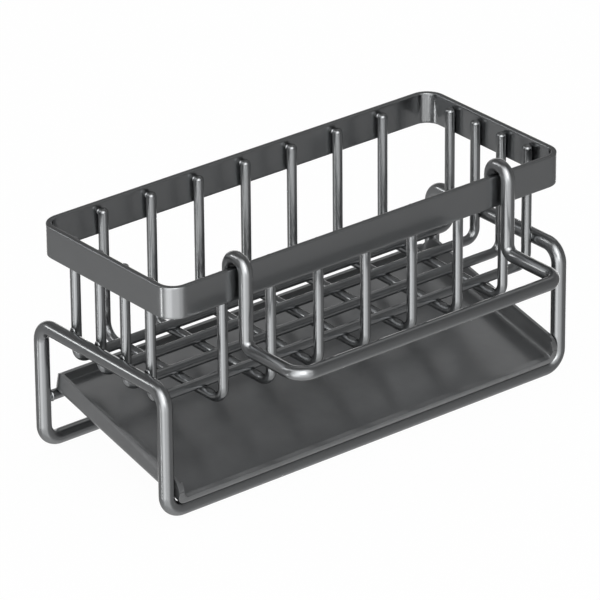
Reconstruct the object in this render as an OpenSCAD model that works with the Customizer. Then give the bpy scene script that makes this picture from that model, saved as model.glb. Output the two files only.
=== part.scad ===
// Sink caddy: a welded wire basket on a bent rod base, with a sloping drip tray under it
// and a dishcloth rail that hooks over the front of the basket.
// Millimetres, +Z up. The origin is on the counter, under the middle of the whole caddy.

/* [Rim band] */
// Length of the basket over its rim band
band_w = 212.4; // [180:0.2:260]
// Depth of the basket over its rim band, front to back
band_d = 88.6; // [80:0.2:110]
// Height of the flat strip that the rim is bent from
band_h = 14.2; // [10:0.1:18]
// Thickness of the flat strip
band_t = 2.5; // [2:0.1:3]
// Radius of the rim's corners, outside
band_corner_r = 9; // [7:0.5:12]
// Height of the rim's top edge above the counter
band_top_z = 104.6; // [95:0.2:120]

/* [Basket wires] */
// Diameter of the basket wires
wire_d = 4.4; // [3.6:0.1:4.8]
// From the end uprights to the nearest front to back wire, centre line to centre line
cross_wire_end_gap = 25.9; // [22:0.1:30]
// Bend radius of the front to back wires, on their centre line
cross_bend_r = 7; // [4:0.5:9]
// From the front and back uprights to the nearest long floor wire, centre line to centre line
floor_wire_edge_gap = 14.4; // [12:0.1:17]
// Bend radius of the long floor wires, on their centre line
floor_bend_r = 5; // [4:0.5:7]
// Height of the long floor wires' centre line above the counter
floor_wire_z = 47; // [44:0.2:50]
// How far the ends of the wires stay below the rim's top edge
wire_end_drop = 2; // [1:0.1:4]
// How deep a floor wire is pressed into a cross wire where they are welded
weld_seat = 1.2; // [0.8:0.1:1.6]

/* [Base frame] */
// Diameter of the rod that the base is bent from
rod_d = 6.6; // [5.6:0.1:7]
// Depth of the base over its rods, front to back
frame_d = 90; // [84:0.2:110]
// Height of the end bars' centre line above that of the long floor wires
end_bar_rise = 11.2; // [9:0.1:16]
// Bend radius of the base rod, on its centre line
frame_bend_r = 7.5; // [7.3:0.1:10]
// How far the base stands behind the middle of the basket
frame_back_shift = 1.2; // [0:0.1:3]
// How far an end wire and an end bar are pressed together where they are welded
bar_weld_sink = 0.3; // [0:0.05:0.4]

/* [Tray rest rod] */
// Diameter of the rod that carries the back of the tray
rest_rod_d = 4.6; // [4:0.1:6]
// Height of the rest rod's centre line above the counter
rest_rod_z = 24; // [16:0.2:25]
// How far short of the posts' centre line the rest rod is cut off at each end
rest_rod_cut = 1.5; // [1:0.1:2]

/* [Drip tray] */
// Thickness of the tray's sheet
tray_t = 1.4; // [1:0.1:2]
// Thickness of the folded hem round the open front of the tray
hem_t = 2.6; // [2.2:0.1:3.2]
// Length of the folded hem, from the front edge back
hem_l = 2.6; // [2.2:0.1:6]
// Inner radius of the hem's two lower corners
hem_corner_in_r = 3; // [1:0.1:5]
// Height of the tray's side walls, square to its floor
tray_side_h = 10.9; // [9:0.1:11.4]
// Height of the tray's back wall, square to its floor
tray_back_h = 6.2; // [4:0.1:8]
// Inner radius of the fold between the floor and the back wall
tray_back_fold_in_r = 0.4; // [0.2:0.1:2]
// Inner radius of the tray's two upright back corners
tray_corner_in_r = 4.6; // [3:0.1:8]
// Radius of the rounded ends of the side walls, seen from the side
tray_wall_end_r = 6.5; // [3:0.1:8]
// How far in front of the back wall the side walls start to rise from its height
tray_rise_start = 0.3; // [0.2:0.1:3]
// How far the tray's front edge stands past the middle of the front rod
tray_front_overhang = 1.9; // [1:0.1:3]
// How far the tray's floor stays flat past the middle of the rest rod
tray_back_flat = 0.2; // [0.1:0.1:3]
// Gap between the tray and each post
tray_side_gap = 0.4; // [0.3:0.1:0.6]
// Gap between the tray and the two rods that it lies on
tray_rest_gap = 0.2; // [0.1:0.05:0.4]

/* [Dishcloth rail] */
// Diameter of the rail's rod
rail_d = 6; // [5:0.1:6.6]
// Gap between a hook and the last front to back wire beside it
hook_wire_gap = 0.1; // [0.1:0.1:8]
// How far the rail's front bar stands out from its legs, centre line to centre line
rail_reach = 33.6; // [24:0.2:45]
// Height of the centre line of the rail's arms and front bar above the counter
rail_z = 69.6; // [66:0.2:75]
// Bend radius between the legs and the arms, on the centre line
rail_leg_bend_r = 4.5; // [4:0.5:8]
// Bend radius of the rail's two front corners, on the centre line
rail_corner_r = 7.5; // [5:0.5:12]
// Gap between a hook and the rim band, in front and behind
hook_gap = 1.1; // [0.8:0.1:1.2]
// How far a hook's short leg reaches down behind the rim band
hook_leg_l = 9; // [6:0.5:12]
// Gap between a hook and the top edge of the rim band
hook_rest_gap = 0.2; // [0.1:0.05:0.4]

/* [Hidden] */
$fn = 48;
cross_wire_count = 7;
floor_wire_count = 4;
// Overrun of every cut past the surface that it opens
cut_over = 1;
wire_r = wire_d / 2;
rod_r = rod_d / 2;
rest_rod_r = rest_rod_d / 2;
rail_r = rail_d / 2;

// The wires stand inside the band and touch it
wire_end_z = band_top_z - wire_end_drop;
cross_wire_y = band_d / 2 - band_t - wire_r;
cross_wire_z = floor_wire_z - wire_d + weld_seat;
end_wire_x = band_w / 2 - band_t - wire_r;

// The wires between the uprights are spread evenly
cross_wire_pitch = 2 * (end_wire_x - cross_wire_end_gap) / (cross_wire_count - 1);
floor_wire_pitch = 2 * (cross_wire_y - floor_wire_edge_gap) / (floor_wire_count - 1);

// The base's end bars are welded to the outside of the end wires
post_x = end_wire_x + wire_r + rod_r - bar_weld_sink;
front_rod_y = frame_back_shift - frame_d / 2 + rod_r;
back_rod_y = frame_back_shift + frame_d / 2 - rod_r;
end_bar_z = floor_wire_z + end_bar_rise;

// The rest rod is flush with the front of the back posts
rest_rod_y = back_rod_y - rod_r + rest_rod_r;
rest_rod_half = post_x - rest_rod_cut;

// The tray lies on the front rod and on the rest rod
rest_dy = rest_rod_y - front_rod_y;
rest_dz = rest_rod_z - rod_r;
rest_dist = norm([rest_dy, rest_dz]);
tray_slope = atan2(rest_dz, rest_dy) - asin((rod_r - rest_rod_r) / rest_dist);
tray_half = post_x - rod_r - tray_side_gap;
tray_back_fold_r = tray_back_fold_in_r + tray_t;
tray_corner_r = tray_corner_in_r + tray_t;
tray_back = sqrt(pow(rest_dist, 2) - pow(rod_r - rest_rod_r, 2)) + tray_back_flat + tray_back_fold_r;

// The fold under a side wall runs alongside the bend between the front rod and its post
tray_fold_r = frame_bend_r - rod_r - tray_side_gap;

// The rail hangs on the rim band with its legs in front
rail_x = cross_wire_x(cross_wire_count) - wire_r - hook_wire_gap - rail_r;
rail_leg_y = -(band_d / 2 + hook_gap + rail_r);
rail_front_y = rail_leg_y - rail_reach;
hook_bend_r = (band_t + rail_d) / 2 + hook_gap;
hook_inner_r = hook_bend_r - rail_r;
hook_z = band_top_z + hook_rest_gap - sqrt(pow(hook_inner_r, 2) - pow(band_t / 2, 2));
hook_end_z = band_top_z - hook_leg_l;

// The origin is under the middle of the caddy, which the rail makes longer in front
caddy_front = rail_front_y - rail_r;
caddy_back = back_rod_y + rod_r;
basket_y = -(caddy_front + caddy_back) / 2;

// Shortest stretch of rod that is drawn between two bends
shortest = 0.001;

function unit(v) = v / norm(v);

// The angle by which a rod turns at its corner b, on its way from a to c
function turn(a, b, c) = acos(unit(b - a) * unit(c - b));

// How far before and behind its corner a bend starts and ends
function setback(a, b, c, bend_r) = bend_r * tan(turn(a, b, c) / 2);

// How far the rod's end or bend reaches along the line from corner i
function reach(corners, bend_r, i) =
  i == 0 || i == len(corners) - 1
    ? 0
    : setback(corners[i - 1], corners[i], corners[i + 1], bend_r[i - 1]);

// One straight stretch of round rod between two points
module straight(a, b, r) {
  v = b - a;
  long = norm(v);
  if (long > shortest) {
    translate(a)
      rotate([0, acos(v.z / long), atan2(v.y, v.x)])
        cylinder(r = r, h = long);
  }
}

// One bend of a round rod at its corner b
module bend(a, b, c, bend_r, r) {
  along = unit(b - a);
  axis = unit(cross(along, unit(c - b)));
  outward = cross(along, axis);
  middle = b - along * setback(a, b, c, bend_r) - outward * bend_r;
  multmatrix([
    [outward.x, along.x, axis.x, middle.x],
    [outward.y, along.y, axis.y, middle.y],
    [outward.z, along.z, axis.z, middle.z],
    [0, 0, 0, 1]
  ])
    rotate_extrude(angle = turn(a, b, c))
      translate([bend_r, 0])
        circle(r = r);
}

// A round rod bent along its corners, with one bend radius for each corner between its ends
module bent_rod(corners, bend_r, r) {
  last = len(corners) - 1;
  for (i = [0 : last - 1]) {
    way = unit(corners[i + 1] - corners[i]);
    straight(
      corners[i] + way * reach(corners, bend_r, i),
      corners[i + 1] - way * reach(corners, bend_r, i + 1),
      r
    );
  }
  for (i = [1 : last - 1]) {
    bend(corners[i - 1], corners[i], corners[i + 1], bend_r[i - 1], r);
  }
}

// A rectangle with round corners, centred
module round_rectangle(w, d, r) {
  square([w - 2 * r, d], center = true);
  square([w, d - 2 * r], center = true);
  for (x = [-1, 1], y = [-1, 1]) {
    translate([x * (w / 2 - r), y * (d / 2 - r)])
      circle(r = r);
  }
}

// The rim: one flat strip on edge, bent round and welded end to end
module rim_band() {
  color([0.36, 0.37, 0.38])
    translate([0, basket_y, band_top_z - band_h])
      difference() {
        linear_extrude(height = band_h)
          round_rectangle(band_w, band_d, band_corner_r);
        translate([0, 0, -cut_over])
          linear_extrude(height = band_h + 2 * cut_over)
            round_rectangle(band_w - 2 * band_t, band_d - 2 * band_t, band_corner_r - band_t);
      }
}

function floor_wire_y(index) = (index - (floor_wire_count + 1) / 2) * floor_wire_pitch;

function cross_wire_x(index) = (index - (cross_wire_count + 1) / 2) * cross_wire_pitch;

// A front to back wire, with a pressed seat for each floor wire that is welded on it
module cross_wire(index) {
  color([0.42, 0.43, 0.44])
    translate([cross_wire_x(index), basket_y, 0])
      difference() {
        bent_rod(
          [
            [0, -cross_wire_y, wire_end_z],
            [0, -cross_wire_y, cross_wire_z],
            [0, cross_wire_y, cross_wire_z],
            [0, cross_wire_y, wire_end_z]
          ],
          [cross_bend_r, cross_bend_r],
          wire_r
        );
        for (long = [1 : floor_wire_count]) {
          translate([-wire_r - cut_over, floor_wire_y(long), floor_wire_z])
            rotate([0, 90, 0])
              cylinder(r = wire_r, h = wire_d + 2 * cut_over);
        }
      }
}

// A long floor wire, whose uprights close the two ends of the basket
module floor_wire(index) {
  color([0.42, 0.43, 0.44])
    translate([0, basket_y + floor_wire_y(index), 0])
      bent_rod(
        [
          [-end_wire_x, 0, wire_end_z],
          [-end_wire_x, 0, floor_wire_z],
          [end_wire_x, 0, floor_wire_z],
          [end_wire_x, 0, wire_end_z]
        ],
        [floor_bend_r, floor_bend_r],
        wire_r
      );
}

// The base: one rod bent into a closed loop, with no bar on the counter at its two ends
module base_frame() {
  color([0.4, 0.41, 0.42])
    translate([0, basket_y, 0])
      bent_rod(
        [
          [0, back_rod_y, rod_r],
          [post_x, back_rod_y, rod_r],
          [post_x, back_rod_y, end_bar_z],
          [post_x, front_rod_y, end_bar_z],
          [post_x, front_rod_y, rod_r],
          [-post_x, front_rod_y, rod_r],
          [-post_x, front_rod_y, end_bar_z],
          [-post_x, back_rod_y, end_bar_z],
          [-post_x, back_rod_y, rod_r],
          [0, back_rod_y, rod_r]
        ],
        [for (corner = [1 : 8]) frame_bend_r],
        rod_r
      );
}

// The rod that carries the back of the tray, its ends hollowed to fit the back posts
module tray_rest_rod() {
  color([0.4, 0.41, 0.42])
    translate([0, basket_y, 0])
      difference() {
        straight(
          [-rest_rod_half, rest_rod_y, rest_rod_z],
          [rest_rod_half, rest_rod_y, rest_rod_z],
          rest_rod_r
        );
        for (side = [-1, 1]) {
          translate([side * post_x, back_rod_y, rest_rod_z - rest_rod_r - cut_over])
            cylinder(r = rod_r, h = rest_rod_d + 2 * cut_over);
        }
      }
}

// Cross section of the tray over its floor and side walls, inset by one thickness, and the
// radius of the fold between them
module tray_section(inset, fold_r) {
  half = tray_half - inset;
  translate([-half + fold_r, inset])
    square([2 * (half - fold_r), tray_side_h + cut_over]);
  translate([-half, inset + fold_r])
    square([2 * half, tray_side_h + cut_over]);
  for (side = [-1, 1]) {
    translate([side * (half - fold_r), inset + fold_r])
      circle(r = fold_r);
  }
}

// Plan of the tray with its two round back corners, inset by one thickness
module tray_plan(inset, front) {
  corner_r = tray_corner_r - inset;
  half = tray_half - inset;
  back = tray_back - inset;
  translate([-half, front])
    square([2 * half, back - corner_r - front]);
  translate([-half + corner_r, front])
    square([2 * (half - corner_r), back - front]);
  for (side = [-1, 1]) {
    translate([side * (half - corner_r), back - corner_r])
      circle(r = corner_r);
  }
}

// The side view below the back wall's edge, with the fold at the back, inset by one thickness
module tray_profile_low(inset, front, top) {
  fold_r = tray_back_fold_r - inset;
  back = tray_back - inset;
  translate([front, inset])
    square([back - fold_r - front, top - inset]);
  translate([front, inset + fold_r])
    square([back - front, top - inset - fold_r]);
  translate([back - fold_r, inset + fold_r])
    circle(r = fold_r);
}

// The side view of the side walls: round at the front, and down to the back wall at the back
module tray_profile() {
  front = -tray_front_overhang;
  drop_r = tray_side_h - tray_back_h;
  drop_y = tray_back - tray_t - tray_rise_start - drop_r;
  tray_profile_low(0, front, tray_back_h);
  translate([front, 0])
    square([drop_y - front, tray_side_h - tray_wall_end_r]);
  translate([front + tray_wall_end_r, 0])
    square([drop_y - front - tray_wall_end_r, tray_side_h]);
  translate([front + tray_wall_end_r, tray_side_h - tray_wall_end_r])
    circle(r = tray_wall_end_r);
  translate([drop_y, tray_back_h])
    circle(r = drop_r);
}

// The full block inside the tray's outer faces
module tray_block() {
  long = tray_back + tray_front_overhang;
  intersection() {
    translate([0, -tray_front_overhang, 0])
      rotate([90, 0, 180])
        linear_extrude(height = long)
          tray_section(0, tray_fold_r);
    linear_extrude(height = tray_side_h)
      tray_plan(0, -tray_front_overhang);
    translate([-tray_half, 0, 0])
      rotate([90, 0, 90])
        linear_extrude(height = 2 * tray_half)
          tray_profile();
  }
}

// What is cut from the block behind the hem, which leaves one thickness of sheet
module tray_hollow(inset, front) {
  intersection() {
    translate([0, front, 0])
      rotate([90, 0, 180])
        linear_extrude(height = tray_back - front)
          tray_section(inset, tray_fold_r - inset);
    linear_extrude(height = tray_side_h + cut_over)
      tray_plan(inset, front);
    translate([-tray_half, 0, 0])
      rotate([90, 0, 90])
        linear_extrude(height = 2 * tray_half)
          tray_profile_low(inset, front, tray_side_h + cut_over);
  }
}

// What is cut from the block's open front end, which leaves the thicker hem
module tray_front_hollow() {
  translate([0, -tray_front_overhang - cut_over, 0])
    rotate([90, 0, 180])
      linear_extrude(height = hem_l + 2 * cut_over)
        tray_section(hem_t, hem_corner_in_r);
}

// The tray: folded sheet, open in front, where its edge is folded back on itself
module drip_tray() {
  color([0.3, 0.31, 0.32])
    translate([0, basket_y + front_rod_y, rod_r])
      rotate([tray_slope, 0, 0])
        translate([0, 0, rod_r + tray_rest_gap])
          difference() {
            tray_block();
            tray_hollow(tray_t, hem_l - tray_front_overhang);
            tray_front_hollow();
          }
}

// The rail: one rod bent to a front bar, two arms, two legs and two hooks
module dishcloth_rail() {
  hook_top_z = hook_z + hook_bend_r;
  hook_back_y = rail_leg_y + 2 * hook_bend_r;
  color([0.44, 0.45, 0.46])
    translate([0, basket_y, 0])
      bent_rod(
        [
          [-rail_x, hook_back_y, hook_end_z],
          [-rail_x, hook_back_y, hook_top_z],
          [-rail_x, rail_leg_y, hook_top_z],
          [-rail_x, rail_leg_y, rail_z],
          [-rail_x, rail_front_y, rail_z],
          [rail_x, rail_front_y, rail_z],
          [rail_x, rail_leg_y, rail_z],
          [rail_x, rail_leg_y, hook_top_z],
          [rail_x, hook_back_y, hook_top_z],
          [rail_x, hook_back_y, hook_end_z]
        ],
        [
          hook_bend_r, hook_bend_r, rail_leg_bend_r, rail_corner_r,
          rail_corner_r, rail_leg_bend_r, hook_bend_r, hook_bend_r
        ],
        rail_r
      );
}

rim_band();
cross_wire(1);  // cross_wire_1
cross_wire(2);  // cross_wire_2
cross_wire(3);  // cross_wire_3
cross_wire(4);  // cross_wire_4
cross_wire(5);  // cross_wire_5
cross_wire(6);  // cross_wire_6
cross_wire(7);  // cross_wire_7
floor_wire(1);  // floor_wire_1
floor_wire(2);  // floor_wire_2
floor_wire(3);  // floor_wire_3
floor_wire(4);  // floor_wire_4
base_frame();
tray_rest_rod();
drip_tray();
dishcloth_rail();
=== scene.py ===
import math
import bmesh
import bpy
from mathutils import Matrix, Vector


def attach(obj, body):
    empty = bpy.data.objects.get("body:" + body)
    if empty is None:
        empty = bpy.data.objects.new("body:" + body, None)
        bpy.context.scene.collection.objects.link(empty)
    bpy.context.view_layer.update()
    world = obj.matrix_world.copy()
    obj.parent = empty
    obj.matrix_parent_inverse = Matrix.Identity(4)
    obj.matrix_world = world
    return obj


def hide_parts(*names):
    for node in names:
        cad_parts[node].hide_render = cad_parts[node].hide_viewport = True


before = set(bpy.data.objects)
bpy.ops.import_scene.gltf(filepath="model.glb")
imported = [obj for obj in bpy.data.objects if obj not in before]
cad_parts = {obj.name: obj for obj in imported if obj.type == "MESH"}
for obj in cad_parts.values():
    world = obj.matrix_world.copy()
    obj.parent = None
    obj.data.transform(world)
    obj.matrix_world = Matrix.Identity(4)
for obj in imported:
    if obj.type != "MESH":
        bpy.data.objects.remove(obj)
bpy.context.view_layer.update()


# Base frame
# One 6.6 mm steel rod, bent to a closed loop on a tube bender and butt welded at
# the middle of the back, then polished and plated dark grey. It carries the basket.

BASKET_Y = 19.4  # the basket's middle: pieces are drawn in millimetres, with y from here
ROD_R = 3.3
BEND_R = 7.5
POST_X = 106.7
FRONT_ROD_Y = -40.5
BACK_ROD_Y = 42.9
END_BAR_Z = 58.2
COLLAR = 0.35  # length of the narrow faces beside a bend, which keep the straights evenly shaded
TOUCH = 0.01  # points nearer than this are one


def only(kind, things):
    return [t for t in things if isinstance(t, kind)]


def draw_on(work, ring, step):
    grown = bmesh.ops.extrude_edge_only(work, edges=ring)["geom"]
    bmesh.ops.translate(work, verts=only(bmesh.types.BMVert, grown), vec=step)
    return only(bmesh.types.BMEdge, grown)


def draw_straight(work, ring, way, length, collars):
    """Draws a ring of edges straight on, with a short collar of its own beside each bend."""
    if length < TOUCH:
        return ring
    if length <= 3 * sum(collars):
        return draw_on(work, ring, way * length)
    for part in (collars[0], length - sum(collars), collars[1]):
        if part:
            ring = draw_on(work, ring, way * part)
    return ring


def draw_bend(work, ring, middle, axis, angle, steps):
    corners = list({v for e in ring for v in e.verts})
    turned = bmesh.ops.spin(
        work, geom=ring + corners, cent=middle, axis=axis, dvec=(0, 0, 0), angle=angle,
        steps=steps, use_merge=False, use_normal_flip=False, use_duplicate=False,
    )
    return only(bmesh.types.BMEdge, turned["geom_last"])


def draw_along(work, ring, corners, bends, steps):
    """Draws a ring of edges along a path, with a bend of its own radius at each inner corner."""
    points = [Vector(p) for p in corners]
    start, before = 0.0, 0.0
    for i in range(len(points) - 1):
        way = (points[i + 1] - points[i]).normalized()
        long = (points[i + 1] - points[i]).length
        if i + 2 == len(points):
            return draw_straight(work, ring, way, long - start, (before, 0))
        onward = (points[i + 2] - points[i + 1]).normalized()
        angle = way.angle(onward)
        back = bends[i] * math.tan(angle / 2)
        ring = draw_straight(work, ring, way, long - start - back, (before, COLLAR))
        axis = way.cross(onward).normalized()
        middle = points[i + 1] - way * back + axis.cross(way) * bends[i]
        ring = draw_bend(work, ring, middle, axis, angle, steps)
        start, before = back, COLLAR


def round_start(work, at, way, radius, sides):
    turned = way.to_track_quat("Z", "Y").to_matrix().to_4x4()
    made = bmesh.ops.create_circle(
        work, cap_ends=False, segments=sides, radius=radius,
        matrix=Matrix.Translation(at) @ turned,
    )
    return list({e for v in made["verts"] for e in v.link_edges})


def close_end(work, ring, rounding):
    """Closes an end with a flat face and rounds its rim, as a cut and tumbled wire end is."""
    bmesh.ops.contextual_create(work, geom=ring)
    bmesh.ops.bevel(
        work, geom=ring, offset=rounding, offset_type="OFFSET", segments=6, profile=0.5,
        affect="EDGES", material=-1,
    )


def bent_rod(corners, bends, radius, sides=40, steps=16, rounding=0):
    """A round rod drawn along its corners. It is a closed loop if it ends where it starts."""
    work = bmesh.new()
    first, second = Vector(corners[0]), Vector(corners[1])
    ring = round_start(work, first, (second - first).normalized(), radius, sides)
    start = list(ring)
    ring = draw_along(work, ring, corners, bends, steps)
    if (Vector(corners[-1]) - first).length < radius:
        bmesh.ops.remove_doubles(work, verts=work.verts, dist=TOUCH)
    else:
        close_end(work, start, rounding)
        close_end(work, ring, rounding)
    return work


def piece(name, work, material, body, nodes):
    """Turns finished millimetre work into a piece in metres, on its body, in place of its solids."""
    bmesh.ops.recalc_face_normals(work, faces=work.faces)
    bmesh.ops.translate(work, verts=work.verts, vec=(0, BASKET_Y, 0))
    bmesh.ops.scale(work, verts=work.verts, vec=(0.001, 0.001, 0.001))
    mesh = bpy.data.meshes.new(name)
    work.to_mesh(mesh)
    work.free()
    for face in mesh.polygons:
        face.use_smooth = True
    made = bpy.data.objects.new(name, mesh)
    bpy.context.scene.collection.objects.link(made)
    mesh.materials.append(material)
    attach(made, body)
    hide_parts(*nodes)


def shader_node(tree, kind, values=(), **settings):
    """Adds a node with its settings. Values go to its sockets in turn: numbers, colours or links."""
    made = tree.nodes.new(kind)
    for name, value in settings.items():
        setattr(made, name, value)
    for socket, value in zip(made.inputs, values):
        if isinstance(value, bpy.types.NodeSocket):
            tree.links.new(value, socket)
        elif value is not None:
            socket.default_value = value
    return made


def calc(tree, operation, *values):
    return shader_node(tree, "ShaderNodeMath", values, operation=operation).outputs[0]


def graded(tree, value, start, end, first=0, last=1, kind="SMOOTHSTEP"):
    """Goes from first to last while a value goes from start to end."""
    return shader_node(
        tree, "ShaderNodeMapRange", (value, start, end, first, last), interpolation_type=kind,
    ).outputs[0]


def noise(tree, at, scale, detail, roughness):
    """Noise of so many waves to the metre."""
    values = (at, None, scale, detail, roughness)
    return shader_node(tree, "ShaderNodeTexNoise", values).outputs["Fac"]


def stirred(tree, level, amount, by):
    """A level that is moved up and down by a noise, whose mean is 0.5."""
    return calc(tree, "MULTIPLY_ADD", calc(tree, "SUBTRACT", by, 0.5), amount, level)


def new_group(name, inputs, outputs):
    """A shader node group with named sockets, and its inner input and output nodes."""
    made = bpy.data.node_groups.new(name, "ShaderNodeTree")
    for socket, kind in inputs.items():
        made.interface.new_socket(name=socket, in_out="INPUT", socket_type=f"NodeSocket{kind}")
    for socket, kind in outputs.items():
        made.interface.new_socket(name=socket, in_out="OUTPUT", socket_type=f"NodeSocket{kind}")
    given = made.nodes.new("NodeGroupInput").outputs
    return made, given, made.nodes.new("NodeGroupOutput").inputs


# Dark plating: its colour is a little cloudy and its gloss a little hazy, both at random,
# and it has the fine grain of the polishing before it. Sizes are in metres.
tree, given, made = new_group(
    "dark_plating",
    {"Colour": "Color", "Cloud": "Float", "Roughness": "Float", "Haze": "Float",
     "Grain Size": "Float"},
    {"Colour": "Color", "Roughness": "Float", "Grain": "Float"},
)
at = shader_node(tree, "ShaderNodeTexCoord").outputs["Object"]
cloud = noise(tree, at, scale=55, detail=3, roughness=0.55)
cloud = stirred(tree, 1, given["Cloud"], by=cloud)
shaded = shader_node(
    tree, "ShaderNodeVectorMath", (given["Colour"], None, None, cloud), operation="SCALE",
)
tree.links.new(shaded.outputs[0], made["Colour"])
haze = noise(tree, at, scale=260, detail=4, roughness=0.6)
haze = stirred(tree, given["Roughness"], given["Haze"], by=haze)
tree.links.new(haze, made["Roughness"])
waves = calc(tree, "DIVIDE", 1, given["Grain Size"])
grain = noise(tree, at, scale=waves, detail=2, roughness=0.5)
tree.links.new(grain, made["Grain"])
dark_plating = tree


# Worn edges: where the surface turns sharply, cloths and sponges rub the plating lighter
# and smoother, in patches. Pointiness tells edges from faces: it is 0.5 on a flat face.
tree, given, made = new_group(
    "rubbed_edges",
    {"Colour": "Color", "Bare": "Color", "Roughness": "Float", "Wear": "Float"},
    {"Colour": "Color", "Roughness": "Float"},
)
FIRST_COLOUR, SECOND_COLOUR, MIXED_COLOUR = 6, 7, 2  # sockets of a Mix node
WORN_CHANGE = -0.015  # of the roughness
at = shader_node(tree, "ShaderNodeTexCoord").outputs["Object"]
sharp = shader_node(tree, "ShaderNodeNewGeometry").outputs["Pointiness"]
sharp = graded(tree, sharp, 0.53, 0.6)
patch = noise(tree, at, scale=320, detail=3, roughness=0.6)
patch = graded(tree, patch, 0.35, 0.65, first=0.3, kind="LINEAR")
worn = calc(tree, "MULTIPLY", calc(tree, "MULTIPLY", sharp, patch), given["Wear"])
lighter = shader_node(tree, "ShaderNodeMix", data_type="RGBA")
tree.links.new(worn, lighter.inputs["Factor"])
tree.links.new(given["Colour"], lighter.inputs[FIRST_COLOUR])
tree.links.new(given["Bare"], lighter.inputs[SECOND_COLOUR])
tree.links.new(lighter.outputs[MIXED_COLOUR], made["Colour"])
smoother = calc(tree, "MULTIPLY_ADD", worn, WORN_CHANGE, given["Roughness"])
tree.links.new(smoother, made["Roughness"])
rubbed_edges = tree


ROUGHNESS = 0.285
HAZE = 0.01
GRAIN_SIZE = 0.0009
GRAIN_RELIEF, GRAIN_DEPTH = 0.03, 0.0002
BARE_STEEL = (0.42, 0.42, 0.43, 1)
EDGE_ON = (0.1, 0.1, 0.1, 1)  # how much of its light the metal keeps when it is seen edge on
LACQUER_IOR = 1.65


def plated(name, colour, roughness=ROUGHNESS, cloud=0.12, wear=0, metal=1, lacquer_roughness=0.1):
    """Steel plated dark grey, under a thin clear lacquer that gives it narrow bright lines."""
    made = bpy.data.materials.new(name)
    made.use_nodes = True
    tree = made.node_tree
    shader = tree.nodes["Principled BSDF"]
    shader.inputs["Metallic"].default_value = metal
    shader.inputs["Specular Tint"].default_value = EDGE_ON
    shader.inputs["Coat Weight"].default_value = 1
    shader.inputs["Coat Roughness"].default_value = lacquer_roughness
    shader.inputs["Coat IOR"].default_value = LACQUER_IOR
    plating = shader_node(
        tree, "ShaderNodeGroup", ((*colour, 1), cloud, roughness, HAZE, GRAIN_SIZE),
        node_tree=dark_plating,
    ).outputs
    rubbed = shader_node(
        tree, "ShaderNodeGroup", (plating["Colour"], BARE_STEEL, plating["Roughness"], wear),
        node_tree=rubbed_edges,
    ).outputs
    relief = tree.nodes.new("ShaderNodeBump")
    relief.inputs["Strength"].default_value = GRAIN_RELIEF
    relief.inputs["Distance"].default_value = GRAIN_DEPTH
    tree.links.new(plating["Grain"], relief.inputs["Height"])
    tree.links.new(rubbed["Colour"], shader.inputs["Base Color"])
    tree.links.new(rubbed["Roughness"], shader.inputs["Roughness"])
    tree.links.new(relief.outputs["Normal"], shader.inputs["Normal"])
    return made


rod_finish = plated("plated_rod", (0.172, 0.178, 0.182))

x, front, back, top = POST_X, FRONT_ROD_Y, BACK_ROD_Y, END_BAR_Z
base = bent_rod(
    [
        (0, back, ROD_R), (x, back, ROD_R), (x, back, top), (x, front, top), (x, front, ROD_R),
        (-x, front, ROD_R), (-x, front, top), (-x, back, top), (-x, back, ROD_R),
        (0, back, ROD_R),
    ],
    [BEND_R] * 8, ROD_R, sides=48,
)
piece("base_rod", base, rod_finish, "basket", ["base_frame"])


# Rest rod of the tray
# A straight 4.6 mm rod, its ends hollowed to fit the two back posts and welded on,
# flush with their fronts. The back of the tray lies on it.

REST_R = 2.3
REST_X = 105.2
REST_Y = BACK_ROD_Y - ROD_R + REST_R
REST_Z = 24
REST_BEAD_X, REST_BEAD = 103.5, (1.2, 2.6, 2.6)


def weld_bead(work, at, sizes):
    """A bead of weld metal, given by its middle and its three half sizes."""
    grown = Matrix.Diagonal((*sizes, 1))
    bmesh.ops.create_uvsphere(
        work, u_segments=16, v_segments=10, radius=1, matrix=Matrix.Translation(at) @ grown,
    )


rest = bent_rod([(-REST_X, REST_Y, REST_Z), (REST_X, REST_Y, REST_Z)], [], REST_R, rounding=0.1)
for side in (-1, 1):
    weld_bead(rest, (side * REST_BEAD_X, REST_Y, REST_Z), REST_BEAD)
piece("rest_rod", rest, rod_finish, "basket", ["tray_rest_rod"])


# Front to back wires
# Seven 4.4 mm wires bent to a U. Their uprights stand inside the rim and are spot
# welded to it, and their middles form the lower layer of the basket's floor.

WIRE_R = 2.2
WIRE_TOP = 102.6
WIRE_ROUNDING = 1.7
CROSS_Y = 39.6
CROSS_Z = 43.8
CROSS_BEND_R = 7
CROSS_X = [(number - 3) * 25.2 for number in range(7)]
# Each wire's two beads on the rim: how far aside, how far below the wire's top, half sizes
RIM_BEADS = (-0.7, 1.6, (1.5, 0.8, 1.4)), (0.4, 9.5, (1.3, 0.7, 2))
RIM_BEAD_SUNK = 0.5

wire_finish = plated("plated_wire", (0.16, 0.166, 0.17))

for number, x in enumerate(CROSS_X, start=1):
    wire = bent_rod(
        [
            (x, -CROSS_Y, WIRE_TOP), (x, -CROSS_Y, CROSS_Z),
            (x, CROSS_Y, CROSS_Z), (x, CROSS_Y, WIRE_TOP),
        ],
        [CROSS_BEND_R] * 2, WIRE_R, rounding=WIRE_ROUNDING,
    )
    for side in (-1, 1):
        y = side * (CROSS_Y + WIRE_R - RIM_BEAD_SUNK)
        for aside, below_top, sizes in RIM_BEADS:
            weld_bead(wire, (x + aside, y, WIRE_TOP - below_top), sizes)
    node = f"cross_wire_{number}"
    piece(f"cross_wire_{number}_drawn", wire, wire_finish, "basket", [node])


# Long floor wires
# Four 4.4 mm wires bent to a wide U, laid on the front to back wires and pressed
# into them by the welder. Their uprights close the ends and carry the whole basket.

END_WIRE_X = 101.5
FLOOR_Z = 47
FLOOR_BEND_R = 5
FLOOR_Y = [(number - 1.5) * 16.8 for number in range(4)]
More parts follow.
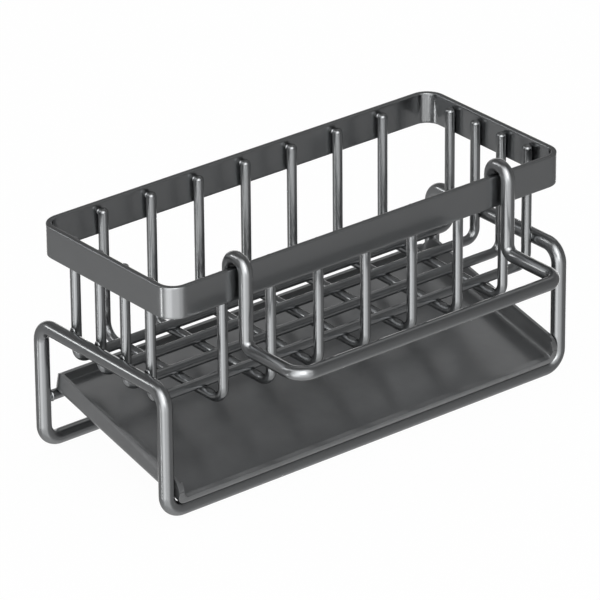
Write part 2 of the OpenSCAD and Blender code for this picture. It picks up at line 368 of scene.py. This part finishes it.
# Beads on the rim, on the end bars and at the crossings: how far they lie aside, below
# the wire's top or above the bar, how far they sink into the wire, and their half sizes
TOP_ASIDE, TOP_BELOW, TOP_BEAD = 0.7, 1.6, (0.8, 1.5, 1.4)
BAR_ABOVE, BAR_SUNK, BAR_BEAD = 1.5, 0.3, (0.9, 1.8, 2.3)
CROSSING_SUNK, CROSSING_BEAD = 0.3, (1.9, 1.9, 0.9)

for number, y in enumerate(FLOOR_Y, start=1):
    x = END_WIRE_X
    wire = bent_rod(
        [(-x, y, WIRE_TOP), (-x, y, FLOOR_Z), (x, y, FLOOR_Z), (x, y, WIRE_TOP)],
        [FLOOR_BEND_R] * 2, WIRE_R, rounding=WIRE_ROUNDING,
    )
    for side in (-1, 1):
        rim_x, bar_x = side * (x + WIRE_R - RIM_BEAD_SUNK), side * (x + WIRE_R - BAR_SUNK)
        weld_bead(wire, (rim_x, y + TOP_ASIDE, WIRE_TOP - TOP_BELOW), TOP_BEAD)
        weld_bead(wire, (bar_x, y, END_BAR_Z + BAR_ABOVE), BAR_BEAD)
    for cross_x in CROSS_X:
        weld_bead(wire, (cross_x, y, FLOOR_Z - WIRE_R + CROSSING_SUNK), CROSSING_BEAD)
    node = f"floor_wire_{number}"
    piece(f"floor_wire_{number}_drawn", wire, wire_finish, "basket", [node])


# Rim band
# A flat steel strip on edge, 14.2 by 2.5 mm, bent round four corners and welded end
# to end at the back. Its edges are rolled a little round, and use has rubbed them lighter.

BAND_W, BAND_D, BAND_H, BAND_T = 212.4, 88.6, 14.2, 2.5
BAND_CORNER, BAND_TOP = 9, 104.6
BAND_ROUNDING = 0.45
BAND_STEPS = 18

band_finish = plated("plated_strip", (0.178, 0.184, 0.188), wear=0.5)


def flat_start(work, at, wide, high, rounding):
    """The section of a flat strip that runs along X, with its edges rounded."""
    made = bmesh.ops.create_grid(work, x_segments=1, y_segments=1, size=0.5)
    bmesh.ops.scale(work, verts=made["verts"], vec=(wide, high, 1))
    bmesh.ops.bevel(
        work, geom=made["verts"], offset=rounding, offset_type="OFFSET", segments=4,
        profile=0.5, affect="VERTICES", material=-1,
    )
    bmesh.ops.delete(work, geom=work.faces[:], context="FACES_ONLY")
    tall = [e for e in work.edges if e.calc_length() > wide]
    bmesh.ops.subdivide_edges(work, edges=tall, cuts=15)
    upright = Matrix(((0, 0, 1, 0), (1, 0, 0, 0), (0, 1, 0, 0), (0, 0, 0, 1)))
    bmesh.ops.transform(work, verts=work.verts, matrix=Matrix.Translation(at) @ upright)
    return work.edges[:]


band = bmesh.new()
half_w, half_d = (BAND_W - BAND_T) / 2, (BAND_D - BAND_T) / 2
mid_z = BAND_TOP - BAND_H / 2
ring = flat_start(band, (0, half_d, mid_z), BAND_T, BAND_H, BAND_ROUNDING)
draw_along(
    band, ring,
    [
        (0, half_d, mid_z), (half_w, half_d, mid_z), (half_w, -half_d, mid_z),
        (-half_w, -half_d, mid_z), (-half_w, half_d, mid_z), (0, half_d, mid_z),
    ],
    [BAND_CORNER - BAND_T / 2] * 4, BAND_STEPS,
)
bmesh.ops.remove_doubles(band, verts=band.verts, dist=TOUCH)
piece("rim_strip", band, band_finish, "basket", ["rim_band"])


# Drip tray
# 1.4 mm steel sheet with its sides and back folded up, drawn round at the back corners,
# and its open front edge folded back on itself to a blunt hem. It lies loose on two rods.

SIDE_H, BACK_H = 10.9, 6.2
SLOPE = math.radians(13.4273)
TRAY_LIFT = 0.2  # of the sheet over the rods, as it is laid in
TOP_STRIP = 0.9  # height of the faces along a wall's top, which keep the wall below evenly shaded
SHEET_ROUNDING = 0.4
FLAT_ANGLE, SHARP_ANGLE = math.radians(0.2), math.radians(35)
SAME_POINT = 0.002

sheet_finish = plated(
    "plated_sheet", (0.135, 0.139, 0.142), roughness=0.28, cloud=0.5, wear=0.2, metal=0.6,
    lacquer_roughness=0.19,
)

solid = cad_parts["drip_tray"]
tray = bmesh.new()
tray.from_mesh(solid.data)
bmesh.ops.transform(tray, verts=tray.verts, matrix=Matrix.Scale(1000, 4) @ solid.matrix_world)
bmesh.ops.remove_doubles(tray, verts=tray.verts, dist=SAME_POINT)
bmesh.ops.dissolve_limit(
    tray, verts=tray.verts, edges=tray.edges, angle_limit=FLAT_ANGLE,
    use_dissolve_boundaries=False,
)
upward = Vector((0, -math.sin(SLOPE), math.cos(SLOPE)))
front_rod = Vector((0, BASKET_Y + FRONT_ROD_Y, ROD_R))
for height in (BACK_H - TOP_STRIP, SIDE_H - TOP_STRIP):
    bmesh.ops.bisect_plane(
        tray, geom=tray.verts[:] + tray.edges[:] + tray.faces[:], plane_no=upward,
        plane_co=front_rod + upward * (ROD_R + TRAY_LIFT + height),
    )
sharp = [e for e in tray.edges if e.is_manifold and e.calc_face_angle() > SHARP_ANGLE]
bmesh.ops.bevel(
    tray, geom=sharp, offset=SHEET_ROUNDING, offset_type="OFFSET", segments=4, profile=0.5,
    affect="EDGES", material=-1, clamp_overlap=True,
)
bmesh.ops.translate(tray, verts=tray.verts, vec=(0, -BASKET_Y, 0))
piece("folded_tray", tray, sheet_finish, "tray", ["drip_tray"])


# Dishcloth rail
# A 6 mm rod bent to a bar, two arms, two legs and two hooks. It hangs on the front
# of the rim and lifts off.

RAIL_R = 3
RAIL_X = 70.3
RAIL_Z = 69.6
LEG_Y = -48.4
BAR_Y = -82
LEG_BEND_R = 4.5
BAR_BEND_R = 7.5
HOOK_R = 5.35
HOOK_MIDDLE_Z = 102.81
HOOK_TOP = HOOK_MIDDLE_Z + HOOK_R
HOOK_Y = LEG_Y + 2 * HOOK_R
HOOK_END = 95.6

rail_finish = plated("plated_rail", (0.178, 0.184, 0.188))

x = RAIL_X
rail = bent_rod(
    [
        (-x, HOOK_Y, HOOK_END), (-x, HOOK_Y, HOOK_TOP), (-x, LEG_Y, HOOK_TOP),
        (-x, LEG_Y, RAIL_Z), (-x, BAR_Y, RAIL_Z), (x, BAR_Y, RAIL_Z), (x, LEG_Y, RAIL_Z),
        (x, LEG_Y, HOOK_TOP), (x, HOOK_Y, HOOK_TOP), (x, HOOK_Y, HOOK_END),
    ],
    [HOOK_R, HOOK_R, LEG_BEND_R, BAR_BEND_R, BAR_BEND_R, LEG_BEND_R, HOOK_R, HOOK_R],
    RAIL_R, sides=44, rounding=1.6,
)
piece("cloth_rail", rail, rail_finish, "rail", ["dishcloth_rail"])


# Camera
# It stands where the photograph was taken from: to the left of the front, above the
# caddy and far off, with a long lens.

AZIMUTH, ELEVATION, ROLL = (math.radians(a) for a in (-38.98177, 25.83, -0.46186))
DISTANCE, ASIDE, RAISED = 2337.35, -2.2834, 46.489
LENS, SENSOR = 329.53, 36

away = Vector((
    math.sin(AZIMUTH) * math.cos(ELEVATION), -math.cos(AZIMUTH) * math.cos(ELEVATION),
    math.sin(ELEVATION),
))
right = Vector((math.cos(AZIMUTH), math.sin(AZIMUTH), 0))
up = away.cross(right)
across = right * math.cos(ROLL) + up * math.sin(ROLL)
upward = up * math.cos(ROLL) - right * math.sin(ROLL)
place = away * DISTANCE + right * ASIDE + up * RAISED + Vector((0, BASKET_Y, 0))
camera = bpy.data.objects.new("camera", bpy.data.cameras.new("camera"))
camera.data.lens = LENS
camera.data.sensor_width = SENSOR
camera.data.clip_start, camera.data.clip_end = 0.1, 50
camera.matrix_world = Matrix((
    (across.x, upward.x, away.x, place.x / 1000),
    (across.y, upward.y, away.y, place.y / 1000),
    (across.z, upward.z, away.z, place.z / 1000),
    (0, 0, 0, 1),
))
bpy.context.scene.collection.objects.link(camera)
bpy.context.scene.camera = camera


# White table
# A plain sheet of frosted white acrylic, far wider than the caddy. The camera sees it nearly
# as white as paper, with a little of the caddy's shadow. The metal mirrors the room instead.

TABLE_REACH = 6
ACRYLIC_COLOUR = (0.78, 0.78, 0.78, 1)
WHITE_SHARE = 0.97

table_work = bmesh.new()
bmesh.ops.create_grid(table_work, x_segments=1, y_segments=1, size=TABLE_REACH)
table_mesh = bpy.data.meshes.new("table")
table_work.to_mesh(table_mesh)
table_work.free()
table = bpy.data.objects.new("table", table_mesh)
bpy.context.scene.collection.objects.link(table)
table.visible_glossy = False

acrylic = bpy.data.materials.new("white_acrylic")
acrylic.use_nodes = True
tree = acrylic.node_tree
tree.nodes.clear()
seen_by = shader_node(tree, "ShaderNodeLightPath").outputs
lit = shader_node(tree, "ShaderNodeBsdfDiffuse", (ACRYLIC_COLOUR,)).outputs[0]
white = shader_node(tree, "ShaderNodeEmission", ((1, 1, 1, 1), 1)).outputs[0]
looked_at = calc(tree, "MAXIMUM", seen_by["Is Camera Ray"], seen_by["Is Transmission Ray"])
looked_at = calc(tree, "MAXIMUM", looked_at, seen_by["Is Glossy Ray"])
share = calc(tree, "MULTIPLY", looked_at, WHITE_SHARE)
mixed = shader_node(tree, "ShaderNodeMixShader", (share, lit, white))
shader_node(tree, "ShaderNodeOutputMaterial", (mixed.outputs[0],))
table_mesh.materials.append(acrylic)


# Studio light
# A white room that lights everything evenly. The metal mirrors its walls as grey, paler
# towards the floor, and soft boxes of many sizes in front, to the left and behind.

WALLS = {"start": -40, "end": 60, "first": 0.41, "last": 0.22}  # by elevation, in degrees
FLOOR_EDGE, FLOOR_SOFTNESS, FLOOR_LIGHT = 48, 20, 0.46
ROOM_LIGHT = 0.9

# Each box has a left and right azimuth, with the softness of its sides, a low and high
# elevation, with the softness of its ends, all in degrees, and a strength. Azimuth 0 is
# in front of the caddy, -90 to its left and 90 to its right.
SOFT_BOXES = (
    # Large ones in front and to the left, which overlap
    (-86, 12, 3, -52, 74, 6, 0.75),
    (-86, -6, 3, -30, 64, 5, 0.75),
    (-66, -14, 5, -2, 60, 6, 1.8),
    (-44, -20, 4, 8, 52, 5, 1.9),
    (-30, 18, 4, 24, 76, 4, 0.9),
    (-76, -46, 3, -31, 0, 4, 1.1),
    (2, 20, 5, -34, 70, 6, 0.22),
    # Narrow bright ones at the left and behind it
    (-106, -99, 1, -30, -18, 3, 6),
    (-153, -133, 2, 20, 27, 2, 6),
    (-138, -114, 2, 30, 44, 2, 2.8),
    (-122, -84, 3, 44, 58, 3, 1.6),
    # Dim or low ones behind
    (-176, -112, 5, -48, 14, 6, 0.14),
    (100, 155, 10, 38, 60, 8, 0.38),
    (112, 170, 12, -36, 12, 8, 1.2),
)

tree, given, made = new_group(
    "soft_box",
    {"Azimuth": "Float", "Elevation": "Float", "Left": "Float", "Right": "Float",
     "Side Softness": "Float", "Low": "Float", "High": "Float", "End Softness": "Float",
     "Strength": "Float"},
    {"Light": "Float"},
)


def rise(tree, value, edge, softness):
    """0 before an edge and 1 past it, with a smooth step of twice the softness between."""
    low = calc(tree, "SUBTRACT", edge, softness)
    high = calc(tree, "ADD", edge, softness)
    return graded(tree, value, low, high)


across = calc(
    tree, "SUBTRACT", rise(tree, given["Azimuth"], given["Left"], given["Side Softness"]),
    rise(tree, given["Azimuth"], given["Right"], given["Side Softness"]),
)
upright = calc(
    tree, "SUBTRACT", rise(tree, given["Elevation"], given["Low"], given["End Softness"]),
    rise(tree, given["Elevation"], given["High"], given["End Softness"]),
)
inside = calc(tree, "MULTIPLY", across, upright)
tree.links.new(calc(tree, "MULTIPLY", inside, given["Strength"]), made["Light"])
soft_box = tree

world = bpy.data.worlds.new("studio")
bpy.context.scene.world = world
world.use_nodes = True
world.cycles.sampling_method = "NONE"
tree = world.node_tree
tree.nodes.clear()
way = shader_node(tree, "ShaderNodeTexCoord").outputs["Generated"]
way = shader_node(tree, "ShaderNodeSeparateXYZ", (way,)).outputs
forward = calc(tree, "MULTIPLY", way["Y"], -1)
azimuth = calc(tree, "DEGREES", calc(tree, "ARCTAN2", way["X"], forward))
elevation = calc(tree, "DEGREES", calc(tree, "ARCSINE", way["Z"]))
below = rise(tree, calc(tree, "MULTIPLY", elevation, -1), FLOOR_EDGE, FLOOR_SOFTNESS)
light = calc(tree, "MULTIPLY_ADD", below, FLOOR_LIGHT, graded(tree, elevation, **WALLS))
for box in SOFT_BOXES:
    lamp = shader_node(tree, "ShaderNodeGroup", (azimuth, elevation, *box), node_tree=soft_box)
    light = calc(tree, "ADD", light, lamp.outputs["Light"])
seen_by = shader_node(tree, "ShaderNodeLightPath").outputs
light = shader_node(
    tree, "ShaderNodeMix", (seen_by["Is Glossy Ray"], None, ROOM_LIGHT, light),
    data_type="FLOAT",
).outputs[0]
light = calc(tree, "MAXIMUM", light, seen_by["Is Camera Ray"])
background = shader_node(tree, "ShaderNodeBackground", ((1, 1, 1, 1), light))
shader_node(tree, "ShaderNodeOutputWorld", (background.outputs[0],))

# A key lamp at the front left, for the soft shadow under the caddy
KEY_SIZE, KEY_WATTS = 0.9, 9
KEY_PLACE, KEY_AIM = (-0.85, -1.05, 1.1), (0, 0.02, 0.05)

key = bpy.data.lights.new("key", "AREA")
key.shape = "RECTANGLE"
key.size, key.size_y, key.energy = KEY_SIZE, KEY_SIZE, KEY_WATTS
key_box = bpy.data.objects.new("key", key)
key_box.location = KEY_PLACE
aim = Vector(KEY_AIM) - key_box.location
key_box.rotation_euler = aim.to_track_quat("-Z", "Y").to_euler()
key_box.visible_camera = False
key_box.visible_glossy = False
bpy.context.scene.collection.objects.link(key_box)

bpy.context.scene.view_settings.view_transform = "Standard"
